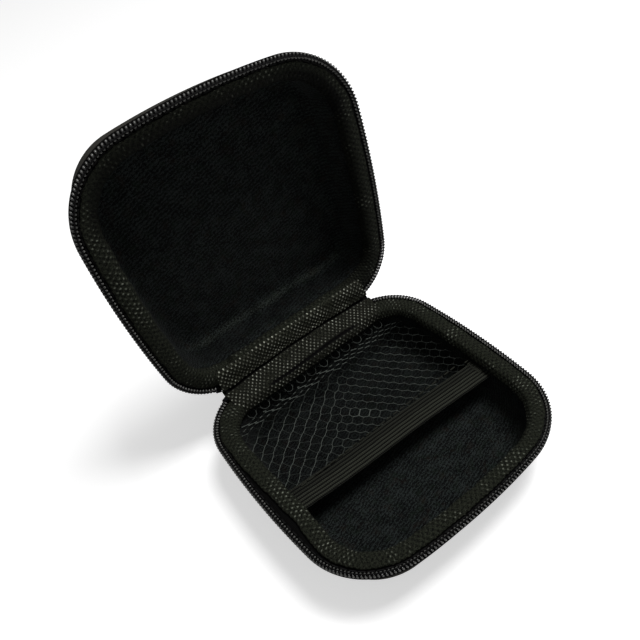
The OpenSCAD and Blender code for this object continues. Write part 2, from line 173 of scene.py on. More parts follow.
ARCS = rim_arcs()
ARC_ENDS = np.cumsum([r * (b - a) for _, r, a, b in ARCS])
STRAIGHT = 2 * ARCS[-1][0][0]
ARC_TOTAL = ARC_ENDS[-1]
RIM_TOTAL = ARC_TOTAL + STRAIGHT
ZIP_START = BACK_CORNER_R * math.asin((HINGE_HALF - ARCS[-1][0][0]) / (BACK_CORNER_R - 1.1 * COIL_W))


def rim(s):
    """Points of the zip's outer line at lengths s along it, and the way inwards there."""
    s = np.mod(np.asarray(s, float), RIM_TOTAL)
    point = np.zeros((len(s), 2))
    inward = np.zeros((len(s), 2))
    start = 0.0
    for (centre, radius, first, _), end in zip(ARCS, ARC_ENDS):
        on = (s >= start - 1e-9) & (s <= end)
        a = first + (s[on] - start) / radius
        ray = np.stack([np.cos(a), np.sin(a)], 1)
        point[on] = centre + radius * ray
        inward[on] = -ray
        start = end
    on = s > ARC_TOTAL
    point[on, 0] = ARCS[-1][0][0] - (s[on] - ARC_TOTAL)
    point[on, 1] = HINGE_Y
    inward[on] = (0, -1)
    return point, inward


def half_width(y, u):
    """Half the space between the two sides at a depth, u inside the rim."""
    side = ARCS[5]
    return side[0][0] + math.sqrt((side[1] - u) ** 2 - (y - side[0][1]) ** 2)


def wall_u(z, t):
    return RIM_INSET + (HALF_H - z) * math.tan(DRAFT) + t / math.cos(DRAFT)


EDGE_U = wall_u(EDGE_R, EDGE_R)


def wall_path(t, top, steps=10):
    """Section of one face of the laminate from the rim down round the edge: rows of u and z."""
    r = EDGE_R - t
    foot = EDGE_R - r * math.sin(DRAFT)
    rows = [(wall_u(z, t), z) for z in np.linspace(top, foot, 12, endpoint=False)]
    for i in range(steps + 1):
        f = DRAFT + (math.pi / 2 - DRAFT) * i / steps
        rows.append((EDGE_U - r * math.cos(f), EDGE_R - r * math.sin(f)))
    return rows


def open_lid(p):
    """Points of a half in its closed place, as the lid's in its open place."""
    y = p[:, 1] - HINGE_Y
    z = HALF_H - p[:, 2]
    c, s = math.cos(LID_OPEN), math.sin(LID_OPEN)
    return np.stack([p[:, 0], HINGE_Y + y * c + z * s, HALF_H - y * s + z * c], 1)


def make(name, points, faces, material, half="base", uv=None, smooth=True, body=None, shade=None):
    """A mesh piece from points in mm. Its faces turn over for the lid, whose place is a mirror image."""
    points = np.asarray(points, float)
    if half == "lid":
        points = open_lid(points)
        faces = [tuple(reversed(f)) for f in faces]
    mesh = bpy.data.meshes.new(name)
    mesh.from_pydata((points * MM).tolist(), [], [tuple(int(i) for i in f) for f in faces])
    mesh.update()
    if uv is not None:
        layer = mesh.uv_layers.new(name="mm")
        loop_points = np.zeros(len(mesh.loops), int)
        mesh.loops.foreach_get("vertex_index", loop_points)
        layer.data.foreach_set("uv", np.asarray(uv, float)[loop_points].astype(np.float32).ravel())
    if shade is not None:
        layer = mesh.attributes.new("tone", "FLOAT", "POINT")
        layer.data.foreach_set("value", np.asarray(shade, np.float32))
    if smooth:
        mesh.shade_smooth()
    mesh.materials.append(material)
    obj = bpy.data.objects.new(name, mesh)
    bpy.context.collection.objects.link(obj)
    if body != "free":
        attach(obj, body or half)
    return obj


def grid_faces(rows, columns, closed_rows=False, closed_columns=False, start=0):
    """Faces of a grid of points, rows by columns."""
    faces = []
    for i in range(rows if closed_rows else rows - 1):
        k = (i + 1) % rows
        for j in range(columns if closed_columns else columns - 1):
            m = (j + 1) % columns
            near, far = start + i * columns, start + k * columns
            faces.append((near + j, far + j, far + m, near + m))
    return faces


def tube_faces(rows, columns):
    """Faces of a closed tube of points with flat ends."""
    faces = grid_faces(rows, columns, closed_columns=True)
    faces.append(tuple(reversed(range(columns))))
    faces.append(tuple(range((rows - 1) * columns, rows * columns)))
    return faces


def rim_steps(spacing=0.9):
    """Lengths along the whole rim, closer round the corners."""
    out = []
    start = 0.0
    for (_, radius, _, _), end in zip(ARCS, ARC_ENDS):
        n = max(4, math.ceil((end - start) / (spacing if radius < 100 else spacing * 3)))
        out.extend(np.linspace(start, end, n, endpoint=False))
        start = end
    out.extend(np.linspace(ARC_TOTAL, RIM_TOTAL, math.ceil(STRAIGHT / (spacing * 3)), endpoint=False))
    return np.array(out)


def swept(section, steps):
    """Grid of points: a row for each step, a column for each (u, z) of the section.

    The section may change with the step.
    """
    p, n = rim(steps)
    section = np.asarray(section, float)
    u = section[..., 0] if section.ndim == 3 else section[None, :, 0]
    z = section[..., 1] if section.ndim == 3 else section[None, :, 1]
    flat = p[:, None, :] + n[:, None, :] * u[:, :, None]
    return np.concatenate([flat, np.broadcast_to(z[:, :, None], flat.shape[:2] + (1,))], 2)


def path_lengths(section):
    q = np.array(section, float)
    return np.r_[0, np.cumsum(np.hypot(*np.diff(q, axis=0).T))]


def srgb(text):
    """A colour as Blender reads it, from its six-digit name."""
    rows = [int(text[i:i + 2], 16) / 255 for i in (0, 2, 4)]
    return [c / 12.92 if c <= 0.04045 else ((c + 0.055) / 1.055) ** 2.4 for c in rows]


class Look:
    """A material of procedural nodes on one principled shader."""

    def __init__(self, name, color, roughness=0.9, specular=0.2, metallic=0.0, sheen=0.0):
        self.material = bpy.data.materials.new(name)
        self.material.use_nodes = True
        self.tree = self.material.node_tree
        self.shader = self.tree.nodes["Principled BSDF"]
        self.set("Base Color", (*srgb(color), 1.0))
        self.set("Roughness", roughness)
        self.set("Specular IOR Level", specular)
        self.set("Metallic", metallic)
        self.set("Sheen Weight", sheen)
        self.set("Sheen Roughness", 0.6)
        self.bumps = None

    def set(self, socket, value):
        self.shader.inputs[socket].default_value = value

    def node(self, kind, **settings):
        n = self.tree.nodes.new("ShaderNode" + kind)
        for key, value in settings.items():
            if key in n.inputs:
                n.inputs[key].default_value = value
            else:
                setattr(n, key, value)
        return n

    def link(self, a, b):
        self.tree.links.new(a, b)

    def math(self, operation, a, b=None):
        n = self.tree.nodes.new("ShaderNodeMath")
        n.operation = operation
        for i, v in enumerate((a, b)):
            if v is None:
                continue
            if isinstance(v, (int, float)):
                n.inputs[i].default_value = v
            else:
                self.link(v, n.inputs[i])
        return n.outputs[0]

    def mm(self):
        """The piece's own cloth coordinates in mm, as two sockets."""
        source = self.node("UVMap", uv_map="mm")
        split = self.node("SeparateXYZ")
        self.link(source.outputs[0], split.inputs[0])
        return split.outputs[0], split.outputs[1]

    def place(self):
        """The point's place in mm."""
        source = self.node("TexCoord")
        n = self.node("VectorMath", operation="SCALE")
        self.link(source.outputs["Object"], n.inputs[0])
        n.inputs["Scale"].default_value = 1 / MM
        return n.outputs[0]

    def noise(self, vector, scale, detail=2.0, stretch=None):
        if stretch is not None:
            m = self.node("VectorMath", operation="MULTIPLY")
            self.link(vector, m.inputs[0])
            m.inputs[1].default_value = stretch
            vector = m.outputs[0]
        n = self.node("TexNoise")
        n.inputs["Scale"].default_value = scale
        n.inputs["Detail"].default_value = detail
        self.link(vector, n.inputs["Vector"])
        return n.outputs["Fac"]

    def joined(self, x, y):
        n = self.node("CombineXYZ")
        self.link(x, n.inputs[0])
        self.link(y, n.inputs[1])
        return n.outputs[0]

    def wave(self, along, pitch, shift=None):
        """From 0 to 1 and back once every pitch."""
        a = self.math("MULTIPLY", along, 2 * math.pi / pitch)
        if shift is not None:
            a = self.math("ADD", a, shift)
        return self.half(self.math("SINE", a))

    def half(self, s):
        return self.math("ADD", self.math("MULTIPLY", s, 0.5), 0.5)

    def bump(self, height, depth):
        """Adds relief of a depth in mm."""
        n = self.node("Bump")
        n.inputs["Strength"].default_value = 1.0
        n.inputs["Distance"].default_value = depth * MM
        self.link(height, n.inputs["Height"])
        if self.bumps is not None:
            self.link(self.bumps, n.inputs["Normal"])
        self.bumps = n.outputs[0]
        self.link(self.bumps, self.shader.inputs["Normal"])

    def mix(self, factor, high):
        """A colour mix whose upper colour is set: its lower socket and its outcome."""
        n = self.node("Mix", data_type="RGBA")
        self.link(factor, n.inputs["Factor"])
        a, b = [i for i in n.inputs if i.type == "RGBA"]
        b.default_value = (*srgb(high), 1.0)
        colour = next(o for o in n.outputs if o.type == "RGBA")
        self.link(colour, self.shader.inputs["Base Color"])
        return a, colour

    def tint(self, factor, low, high):
        """Colour between two as a factor goes from 0 to 1."""
        a, colour = self.mix(factor, high)
        a.default_value = (*srgb(low), 1.0)
        return colour

    def blend_over(self, below, factor, high):
        """Puts one colour over another where the factor is high."""
        a, colour = self.mix(factor, high)
        self.link(below, a)
        return colour

    def span(self, value, low, high, to_low=0.0, to_high=1.0):
        n = self.node("MapRange")
        self.link(value, n.inputs["Value"])
        n.inputs["From Min"].default_value = low
        n.inputs["From Max"].default_value = high
        n.inputs["To Min"].default_value = to_low
        n.inputs["To Max"].default_value = to_high
        return n.outputs[0]


def cover_look():
    """Coated cloth with a fine grain."""
    look = Look("cover_cloth", "302f2c", roughness=0.8, specular=0.1)
    p = look.place()
    fine = look.noise(p, 2.2, 3.0)
    broad = look.noise(p, 0.35, 2.0)
    look.tint(look.span(fine, 0.3, 0.7), "2a2926", "3b3a35")
    look.bump(fine, 0.09)
    look.bump(broad, 0.12)
    return look.material


def lining_look():
    """Brushed knit: short noisy dashes in rows at a slant to the hinge, with a painted highlight along folds and
    painted shade from the tone attribute.
    """
    look = Look("knitted_lining", "0c1010", roughness=1.0, specular=0.05, sheen=0.03)
    x, y = look.mm()
    c, s = math.cos(LINING_TURN), math.sin(LINING_TURN)
    along = look.math("ADD", look.math("MULTIPLY", x, c), look.math("MULTIPLY", y, s))
    across = look.math("SUBTRACT", look.math("MULTIPLY", y, c), look.math("MULTIPLY", x, s))
    flat = look.joined(along, across)
    waver = look.math("MULTIPLY", look.noise(flat, 0.5, 3.0), 12.0)
    rib = look.wave(across, 1.15, waver)
    cross = look.wave(along, 1.5, look.math("MULTIPLY", look.noise(flat, 0.7, 2.0), 16.0))
    fibre = look.noise(flat, 1.9, 4.0, stretch=(0.8, 1.7, 1.0))
    speck = look.noise(flat, 4.0, 2.0)
    patch = look.noise(flat, 0.2, 3.0)
    mixed = look.math("ADD", look.math("MULTIPLY", rib, 0.16), look.math("MULTIPLY", cross, 0.08))
    mixed = look.math("ADD", mixed, look.math("MULTIPLY", fibre, 0.9))
    mixed = look.math("ADD", mixed, look.math("MULTIPLY", speck, 0.75))
    mixed = look.math("ADD", mixed, look.math("MULTIPLY", patch, 0.35))
    base = look.tint(look.span(mixed, 1.07, 1.24), "020303", "262b2a")
    green = look.blend_over(base, look.span(look.noise(flat, 0.31, 2.0), 0.52, 0.72, 0.0, 0.4), "101a10")
    brown = look.blend_over(green, look.span(look.noise(flat, 0.27, 2.0), 0.56, 0.74, 0.0, 0.4), "1d1510")
    painted_light_and_shade = look.node("Attribute", attribute_name="tone").outputs["Fac"]
    # Painted shade: towards black where the tone is below 0, under the net and on the lid's hinge wall
    base = look.blend_over(brown, look.span(painted_light_and_shade, 0.0, -1.0), "000000")
    # Painted highlight where the tone is above 0: along the lid's ridge, and a lighter band along the base's front
    # edge
    painted_lighter = look.math("MULTIPLY", painted_light_and_shade, look.span(look.math("ADD", fibre, speck), 0.9, 1.15))
    look.blend_over(base, painted_lighter, "585f56")
    look.bump(rib, 0.05)
    look.bump(fibre, 0.3)
    look.bump(speck, 0.2)
    return look.material


def binding_look(name, pitch, dark, light, dots, low, high):
    """Cloth embossed with staggered dots, with painted highlights on the dots in places. The tone attribute paints
    shade over it.
    """
    look = Look(name, dark, roughness=0.95, specular=0.12)
    x, y = look.mm()
    flat = look.joined(x, y)
    a = look.math("SINE", look.math("MULTIPLY", x, 2 * math.pi / pitch))
    b = look.math("SINE", look.math("MULTIPLY", y, 2 * math.pi / (pitch * 1.3)))
    lattice = look.math("MULTIPLY", a, b)
    patch = look.span(look.noise(flat, 0.16, 2.0), low, high)
    grain = look.noise(flat, 2.0, 4.0)
    fleck = look.noise(flat, 4.0, 2.0)
    uneven = look.math("MULTIPLY", patch, look.span(grain, 0.35, 0.6))
    painted_dot_glint = look.math("MULTIPLY", look.span(lattice, 0.5, 0.9), uneven)
    ground = look.math("ADD", look.math("MULTIPLY", look.half(lattice), 0.22), look.math("ADD", grain, fleck))
    base = look.tint(look.span(ground, 0.94, 1.3), dark, light)
    # The dots' lighter colour is a painted highlight, in random patches
    dotted = look.blend_over(base, painted_dot_glint, dots)
    # Painted shade towards black where the tone is high: in the strip's crease and tuck, over the base's flap, and on
    # the lid's binding
    look.blend_over(dotted, look.node("Attribute", attribute_name="tone").outputs["Fac"], "000000")
    look.bump(lattice, 0.12)
    look.bump(grain, 0.2)
    return look.material


def tape_look(name, dark, light):
    """Woven tape with a fine herringbone."""
    look = Look(name, dark, roughness=0.95, specular=0.1)
    x, y = look.mm()
    turn = look.math("MULTIPLY", look.math("PINGPONG", y, 1.2), 5.0)
    weave = look.wave(look.math("ADD", x, look.math("MULTIPLY", turn, 0.1)), 0.45)
    cross = look.wave(y, 0.4)
    look.tint(look.math("MULTIPLY", weave, cross), dark, light)
    look.bump(weave, 0.08)
    look.bump(cross, 0.05)
    return look.material


def coil_look():
    """Glossy black nylon, with painted highlights where its loops turn over."""
    look = Look("zip_coil", "0b0b0c", roughness=0.3, specular=0.5)
    p = look.place()
    painted_head_glint = look.node("Attribute", attribute_name="tone").outputs["Fac"]
    uneven = look.span(look.noise(p, 0.35, 2.0), 0.3, 0.7, 0.55, 1.0)
    # Painted highlights where the tone is high, where the loops turn over
    look.tint(look.math("MULTIPLY", painted_head_glint, uneven), "060607", "8c8c88")
    look.bump(look.noise(p, 1.6, 2.0), 0.02)
    look.link(look.span(look.noise(p, 0.5, 2.0), 0.3, 0.7, 0.22, 0.36), look.shader.inputs["Roughness"])
    return look.material


def thread_look(name="thread", color="0d0d0d"):
    look = Look(name, color, roughness=0.85, specular=0.15)
    look.bump(look.noise(look.place(), 6.0, 1.0, stretch=(1.0, 3.0, 1.0)), 0.05)
    return look.material


def metal_look():
    """Black plating with a little wear."""
    look = Look("zip_metal", "2e2f31", roughness=0.34, specular=0.5, metallic=1.0)
    p = look.place()
    wear = look.noise(p, 0.9, 3.0)
    look.tint(look.span(wear, 0.4, 0.8), "26272a", "45464a")
    look.link(look.span(wear, 0.3, 0.7, 0.26, 0.42), look.shader.inputs["Roughness"])
    look.bump(look.noise(p, 3.0, 2.0), 0.015)
    return look.material


def net_look():
    look = Look("net_thread", "4a4e4a", roughness=0.8, specular=0.1)
    # Painted glints: each thread's colour follows its tone
    tone = look.node("Attribute", attribute_name="tone").outputs["Fac"]
    look.tint(tone, "0c0f0e", "6a706a")
    look.bump(look.noise(look.place(), 5.0, 2.0), 0.06)
    return look.material


def elastic_look():
    """Ribbed elastic with a fine cross weave, painted lighter on its rib crowns and darker in its grooves, on its
    sides and underneath.
    """
    look = Look("elastic", "2a2b26", roughness=0.9, specular=0.15)
    x, y = look.mm()
    cross = look.wave(x, 0.62, look.math("MULTIPLY", y, 1.1))
    fine = look.noise(look.joined(x, y), 2.6, 2.0)
    crown = look.node("Attribute", attribute_name="tone").outputs["Fac"]
    # Painted light on the rib crowns and painted shade in the grooves, on the sides and underneath
    lit = look.math("MULTIPLY", crown, look.span(look.math("MULTIPLY", cross, fine), 0.0, 0.5, 0.55, 1.0))
    look.tint(lit, "010101", "35372f")
    look.bump(cross, 0.1)
    look.bump(fine, 0.06)
    return look.material


def foam_look():
    look = Look("moulded_foam", "232323", roughness=0.95, specular=0.1)
    cells = look.node("TexVoronoi")
    cells.inputs["Scale"].default_value = 2.5
    look.link(look.place(), cells.inputs["Vector"])
    look.tint(look.span(cells.outputs["Distance"], 0.1, 0.6), "171717", "2a2a2a")
    look.bump(cells.outputs["Distance"], 0.15)
    return look.material


def plain_cloth_look():
    """Plain woven cloth of the outer hinge strip."""
    look = Look("hinge_cloth", "1a1a19", roughness=0.9, specular=0.12)
    x, y = look.mm()
    warp = look.wave(x, 0.7)
    weft = look.wave(y, 0.7)
    look.tint(look.math("MULTIPLY", warp, weft), "111111", "232321")
    look.bump(warp, 0.07)
    look.bump(weft, 0.07)
    return look.material


COVER = cover_look()
LINING = lining_look()
BINDING = binding_look("embossed_binding", 1.8, "030302", "282b22", "8a8f82", 0.5, 0.75)
STRIP = binding_look("embossed_strip", 1.6, "060605", "33352b", "d8dccc", 0.36, 0.66)
TAPE = tape_look("zip_tape", "020202", "0b0b0a")
COIL = coil_look()
THREAD = thread_look()
CORD = thread_look("coil_cord", "050505")
POCKET_THREAD = thread_look("pocket_thread", "24251f")
METAL = metal_look()
NET = net_look()
ELASTIC = elastic_look()
FOAM = foam_look()
HINGE_CLOTH = plain_cloth_look()


def shell(name, t_out, t_in, material, half, node, ridge=None):
    """A closed layer of the laminate between two depths: rim, wall, rounded edge and flat panel."""
    steps = rim_steps()
    outer = wall_path(t_out, SHELL_TOP)
    inner = wall_path(t_in, SHELL_TOP)
    rounded = [((outer[0][0] + inner[0][0]) / 2, SHELL_TOP + (t_in - t_out) * 0.3)]
    section = list(reversed(outer)) + rounded + inner
    wall = swept(section, steps)
    n = len(steps)
    centre = np.array([0.0, 0.0])
    lengths = path_lengths(section)
    _, inward = rim(steps)
    edge_out = wall[:, 0, :2]
    edge_in = wall[:, -1, :2]
    flat_out = edge_out[:, None, :] - inward[:, None, :] * lengths[None, :len(outer), None]
    back = lengths[-1] - lengths[len(outer):]
    flat_in = edge_in[:, None, :] - inward[:, None, :] * back[None, :, None]
    uv = np.concatenate([flat_out, flat_in], 1)
    rings = 12
    points = [wall.reshape(-1, 3)]
    coords = [uv.reshape(-1, 2)]
    faces = grid_faces(n, len(section), closed_rows=True)
    for edge, column, z in ((edge_out, 0, t_out), (edge_in, len(section) - 1, t_in)):
        first = sum(len(p) for p in points)
        scale = 1 - np.arange(1, rings + 1) / (rings + 1)
        disc = centre + (edge[:, None, :] - centre) * scale[None, :, None]
        points.append(np.concatenate([disc, np.full(disc.shape[:2] + (1,), z)], 2).reshape(-1, 3))
        coords.append(disc.reshape(-1, 2))
        points.append(np.array([[0.0, 0.0, z]]))
        coords.append(np.array([[0.0, 0.0]]))
        middle = first + n * rings
        outwards = column == 0
        for i in range(n):
            k = (i + 1) % n
            near, far = first + i * rings, first + k * rings
            quads = [(i * len(section) + column, k * len(section) + column, far, near)]
            quads += [(near + j, far + j, far + j + 1, near + j + 1) for j in range(rings - 1)]
            quads.append((near + rings - 1, far + rings - 1, middle))
            faces += [tuple(reversed(q)) for q in quads] if outwards else quads
    everywhere = np.concatenate(points)
    coords = np.concatenate(coords)
    tone = np.zeros(len(everywhere))
    if half == "lid":
        coords[:, 1] *= -1
    else:
        # Painted shadow of the net on the base's lining
        tone -= PAINTED_NET_SHADOW * smooth(everywhere[:, 1], -6, 0)
    # The ridge's tone is painted light and shade along the lining's wall
    if ridge is not None:
        rise, painted_light_and_shade = ridge(steps[:, None], lengths[None, :] - lengths[len(outer)])
        grid = points[0].reshape(n, len(section), 3)
        grid[..., :2] += inward[:, None, :] * (0.7 * rise)[..., None]
        grid[..., 2] += 0.7 * rise
        tone[:n * len(section)] += painted_light_and_shade.ravel()
    obj = make(name, np.concatenate(points), faces, material, half, uv=coords, shade=tone)
    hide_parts(node)
    return obj


def from_hinge(s):
    """Distance along the rim from the middle of the hinge."""
    t = np.mod(np.asarray(s, float) - ARC_TOTAL - STRAIGHT / 2 + RIM_TOTAL / 2, RIM_TOTAL) - RIM_TOTAL / 2
    return np.abs(t)


def smooth(value, low, high):
    f = np.clip((value - low) / (high - low), 0, 1)
    return f * f * (3 - 2 * f)


def lid_ridge(s, v):
    """The lid's lining bunches up where its hinge wall meets the panel: its rise, and its tone, a painted highlight
    along the ridge with painted shade on the wall between the ridge and the rim.
    """
    far = from_hinge(s)
    near = 1 - smooth(far, 30, 46)
    crest = 13.4 + 0.4 * np.sin(far * 0.13) - 1.6 * smooth(far, 34, 44)
    bump = np.exp(-((v - crest) / 0.9) ** 2) * near
    # Painted highlight along the ridge
    wide = np.exp(-((v - crest) / 1.5) ** 2) * near * (0.75 + 0.25 * np.sin(s * 0.37 + 1.0))
    # Painted shade on the wall between the ridge and the rim
    under = np.exp(-((v - crest + 4.5) / 3.2) ** 4) * near
    return 0.6 * bump, 0.34 * wide - 0.4 * under


def base_ridge(s, v):
    """The base's lining has no ridge, and is painted a little lighter where its front wall meets the panel."""
    far = from_hinge(s)
    near = smooth(far, 60, 80)
    return 0 * v * near, 0.12 * np.exp(-((v - 11.5) / 2.5) ** 2) * near


def swept_piece(name, section, steps, material, half, node=None, closed=False,
                ripple=None, shape=None, shade=None):
    """A closed section swept along the rim, with flat ends where it doesn't go all round."""
    points = swept(section if shape is None else shape(steps, section), steps)
    if ripple is not None:
        _, inward = rim(steps)
        shift = ripple(steps[:, None], path_lengths(section)[None, :])
        points[:, :, :2] += inward[:, None, :] * shift[:, :, None]
    lengths = path_lengths(section)
    uv = np.stack(np.broadcast_arrays(steps[:, None], lengths[None, :]), 2)
    faces = grid_faces(len(steps), len(section), closed_rows=closed, closed_columns=True)
    if not closed:
        faces.append(tuple(range(len(section))))
        faces.append(tuple(reversed(range((len(steps) - 1) * len(section), len(steps) * len(section)))))
    tone = None if shade is None else shade(steps, section).ravel()
    obj = make(name, points.reshape(-1, 3), faces, material, half, uv=uv.reshape(-1, 2), shade=tone)
    if node:
        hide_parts(node)
    return obj


def arc_rows(centre, radius, first, last, n):
    a = np.radians(np.linspace(first, last, n))
    return [(centre[0] + radius * math.cos(t), centre[1] + radius * math.sin(t)) for t in a]


def binding_section():
    """The binding's cloth: from the groove over a padded roll and down the inner face."""
    low = HALF_H - BINDING_LEG
    bottom = FLANGE_TOP + 0.12
    lip = COIL_W + GROOVE_W
    inner = wall_u(BINDING_TOP, BINDING_OUT)
    rows = [(wall_u(z, BINDING_IN), z) for z in (low + 0.3, bottom)] + [(lip + 0.3, bottom)]
    rows += arc_rows((lip + 0.45, bottom + 0.42), 0.42, 230, 110, 6)
    n = 9
    for i in range(1, n):
        f = i / n
        u = lip + 0.6 + (inner - 0.9 - lip) * f
        rows.append((u, BINDING_TOP - 0.06 + 0.36 * math.sin(math.pi * f) ** 0.8))
    for i in range(6):
        f = math.radians(75 - 15 * i)
        rows.append((inner - 0.75 + 0.8 * math.cos(f), BINDING_TOP - 0.8 + 0.8 * math.sin(f)))
    for i in range(1, 9):
        z = BINDING_TOP - 0.8 + (low + 0.5 - BINDING_TOP + 0.8) * i / 8
        rows.append((wall_u(z, BINDING_OUT - 0.02 - 0.2 * max(0, i - 6)), z))
    rows.append((wall_u(low, BINDING_IN + 0.25), low))
    return rows


# How the hand-sewn binding lies along each rim, judged from the photo: length along the rim,
# outer edge, inner edge, fall of the inner edge and swell
BINDING_LIES = {
    "base": (
        (0, 2.2, 7.6, 0.0, 0.3), (16, 1.9, 7.6, 0.0, 0.3), (28, 2.3, 7.5, 0.0, 0.3), (40, 2.8, 8.2, 0.0, 0.3),
        (52, 3.7, 9.0, 0.0, 0.3), (66, 4.4, 9.3, 0.0, 0.3), (78, 3.0, 8.2, 0.0, 0.3), (92, 2.6, 7.9, 0.0, 0.3),
        (113, 2.7, 7.8, 0.0, 0.3), (141, 2.7, 7.5, 0.0, 0.3), (158, 2.5, 7.2, 0.1, 0.3),
        (172, 2.2, 6.9, 0.2, 0.3), (190, 2.0, 7.0, 0.0, 0.3), (212, 2.2, 7.3, 0.0, 0.3),
        (240, 2.0, 7.4, 0.0, 0.3), (269, 2.2, 7.6, 0.0, 0.3),
    ),
    "lid": (
        (0, 2.4, 7.5, 0.0, 0.3), (30, 2.4, 7.6, 0.1, 0.3), (60, 2.4, 7.3, 0.1, 0.3), (76, 2.4, 6.9, 0.6, 0.2),
        (90, 2.4, 6.6, 1.6, 0.0), (108, 2.4, 6.5, 1.8, 0.0), (130, 2.5, 6.6, 1.8, 0.0), (155, 2.4, 6.7, 1.6, 0.0),
        (172, 2.4, 6.9, 0.9, 0.1), (190, 2.4, 7.2, 0.1, 0.3), (215, 2.4, 7.4, 0.0, 0.3), (269, 2.4, 7.5, 0.0, 0.3),
    ),
}


def binding_shape(half):
    """The binding's section at each step, from how it lies there."""
    table = np.array(BINDING_LIES[half], float).T
    top = BINDING_TOP - 0.8
    low = HALF_H - BINDING_LEG
    first, last = COIL_W + GROOVE_W, wall_u(BINDING_TOP, BINDING_OUT)

    def shape(steps, section):
        lip, inner, fall, swell = (
            np.interp(steps, table[0], row, period=RIM_TOTAL)[:, None] for row in table[1:])
        q = np.array(section, float)[None]
        u, z = q[..., 0], q[..., 1]
        f = np.clip((u - first) / (last - first), 0, 1)
        roll = np.where(z > top - 0.01, 1.0, np.clip((z - low) / (top - low), 0, 1))
        new_u = u + (lip - first) * (1 - f) + (inner - last) * f * roll
        new_z = z - fall * f * roll + swell * np.sin(math.pi * f) ** 0.7 * (z > BINDING_TOP - 0.2)
        down = 1 - np.clip((z - low) / (top - low), 0, 1)
        deeper = 1.1 * (1 - smooth(from_hinge(steps), 30, 44))[:, None] * down
        new_z = new_z - deeper
        new_u = new_u + deeper * math.tan(DRAFT)
        hidden = np.zeros(len(section), bool)
        hidden[1] = True
        return np.stack([np.where(hidden, u, new_u), np.where(hidden, z, new_z)], 2)

    return shape


def binding_painted_shade(half):
    """How dark the binding is painted at each step, as painted shade: the lid's is darker at its free edge and its
    right side.
    """
    lip, inner = COIL_W + GROOVE_W, wall_u(BINDING_TOP, BINDING_OUT)

    def shade(steps, section):
        if half == "base":
            return np.zeros((len(steps), len(section)))
        place, _ = rim(steps)
        across = smooth(np.array(section)[:, 0], lip + 0.8, inner - 0.6)[None, :]
        free = smooth(-place[:, 1], 14, 34)[:, None]
        right = smooth(place[:, 0], 18, 38)[:, None]
        # Painted shade: darker at the free edge and right side, more so towards the inner edge
        return np.clip(0.15 * free + 0.6 * free * across + right * (0.2 + 0.35 * across), 0, 0.85)

    return shade


def ring_steps(first, last, spacing):
    return np.linspace(first, last, max(2, math.ceil((last - first) / spacing)))


def soft_ripple(s, v):
    """Unevenness of sewn cloth, in mm."""
    return 0.10 * np.sin(s * 0.55 + 0.4 * v) + 0.07 * np.sin(s * 1.27 + 1.3 - 0.6 * v)


def coil(name, half, node):
    """A nylon coil: one wire in flat loops along the rim."""
    first = ZIP_START + 2.0
    last = ARC_TOTAL - ZIP_START
    turns = int((last - first) / TOOTH_PITCH)
    per_turn = 18
    sides = 6
    t = np.linspace(0, turns, turns * per_turn + 1)
    s = first + t * TOOTH_PITCH
    a = 2 * math.pi * t
    c, d = np.cos(a), np.sin(a)
    u = COIL_W / 2 + (COIL_W / 2 - WIRE_R) * np.sign(c) * np.abs(c) ** 0.7
    middle = (COIL_TOP + COIL_BOTTOM) / 2
    z = middle + ((COIL_TOP - COIL_BOTTOM) / 2 - WIRE_R) * np.sign(d) * np.abs(d) ** 0.8
    p, inward = rim(s)
    path = np.c_[p + inward * u[:, None], z]
    along = np.gradient(path, axis=0)
    along /= np.linalg.norm(along, axis=1)[:, None]
    rim_way = np.c_[-inward[:, 1], inward[:, 0], np.zeros(len(s))]
    side = np.cross(along, rim_way)
    side /= np.linalg.norm(side, axis=1)[:, None]
    other = np.cross(along, side)
    ring = 2 * math.pi * np.arange(sides) / sides
    across = np.cos(ring)[None, :, None] * side[:, None, :] + np.sin(ring)[None, :, None] * other[:, None, :]
    points = path[:, None, :] + WIRE_R * across
    faces = tube_faces(len(s), sides)
    # Painted highlights where the loops turn over, dimmer on the outer side
    painted_head_glint = np.repeat(np.clip(np.abs(c) * 1.5 - 0.55, 0, 1) * (d > -0.2) * np.where(c > 0, 1.0, 0.55), sides)
    obj = make(name, points.reshape(-1, 3), [tuple(reversed(f)) for f in faces], COIL, half, shade=painted_head_glint)
    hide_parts(node)
    cord = arc_rows((COIL_W / 2 + 0.05, COIL_TOP - 0.05), 0.2, 0, 315, 8)
    swept_piece(half + "_coil_cord", cord, ring_steps(first, last, 0.6), CORD, half)


def tape_section():
    """The tape: a flange under the coil, a rounded bend and a leg down the wall."""
    low = HALF_H - TAPE_LEG
    inside, outside = 0.3, 1.0
    return [
        (0.25, FLANGE_BOTTOM),
        (wall_u(FLANGE_BOTTOM, TAPE_IN) - inside, FLANGE_BOTTOM),
        (wall_u(FLANGE_BOTTOM - inside, TAPE_IN), FLANGE_BOTTOM - inside),
        (wall_u(low, TAPE_IN), low),
        (wall_u(low, TAPE_OUT), low),
        (wall_u(FLANGE_TOP - outside, TAPE_OUT), FLANGE_TOP - outside),
        (wall_u(FLANGE_TOP, TAPE_OUT) - outside, FLANGE_TOP),
        (0.25, FLANGE_TOP),
    ]


def build_half(half):
    shell(half + "_cover", 0.0, COVER_T, COVER, half, half + "_outer_cover")
    shell(half + "_lining_knit", LINING_IN, LINING_OUT, LINING, half, half + "_lining",
          ridge=lid_ridge if half == "lid" else base_ridge)
    around = rim_steps(0.6)
    swept_piece(half + "_binding_cloth", binding_section(), around, BINDING, half, half + "_rim_binding",
                closed=True, ripple=soft_ripple, shape=binding_shape(half),
                shade=binding_painted_shade(half))
    zip_run = ring_steps(ZIP_START, ARC_TOTAL - ZIP_START, 0.9)
    swept_piece(half + "_tape_cloth", tape_section(), zip_run, TAPE, half, half + "_zip_tape")
    coil(half + "_coil_wire", half, half + "_zip_coil")


for half in ("base", "lid"):
    build_half(half)

